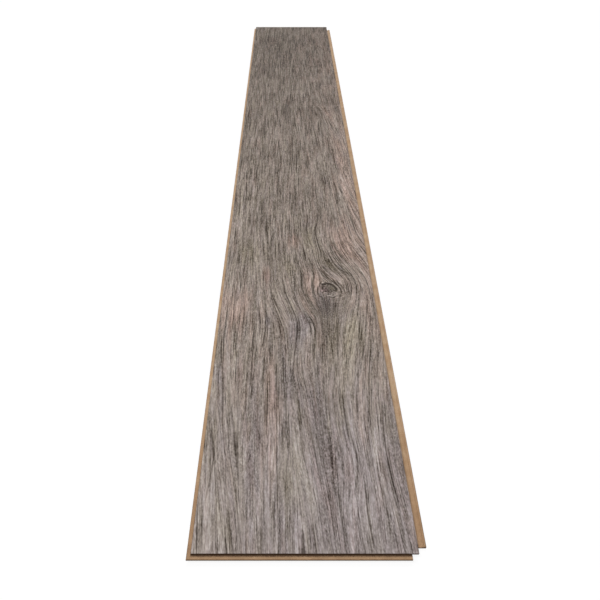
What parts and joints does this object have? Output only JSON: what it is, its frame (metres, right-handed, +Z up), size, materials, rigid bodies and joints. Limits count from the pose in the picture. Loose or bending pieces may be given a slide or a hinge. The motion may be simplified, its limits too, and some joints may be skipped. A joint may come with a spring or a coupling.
{
  "type": "laminate floorboard",
  "caption": "Rectangular laminate floor plank with an embossed grey oak decor face and milled click tongues and grooves on its long sides and ends.",
  "frame": {"origin": "on the underside, below the centre of the face", "axes": "+Z up out of the walking face, +Y along the board away from its end tongue, +X across it towards the long groove"},
  "size_m": [0.2054, 1.3912, 0.008],
  "materials": {
    "hdf_core": "bare milled high-density fibreboard, light brown, with a pale balancing paper on the underside",
    "decor_layer": "weathered grey-brown oak print under a matt, lightly embossed melamine wear layer"
  },
  "bodies": {
    "root": {"hdf_core": "hdf_core", "decor_layer": "decor_layer"}
  },
  "joints": []
}
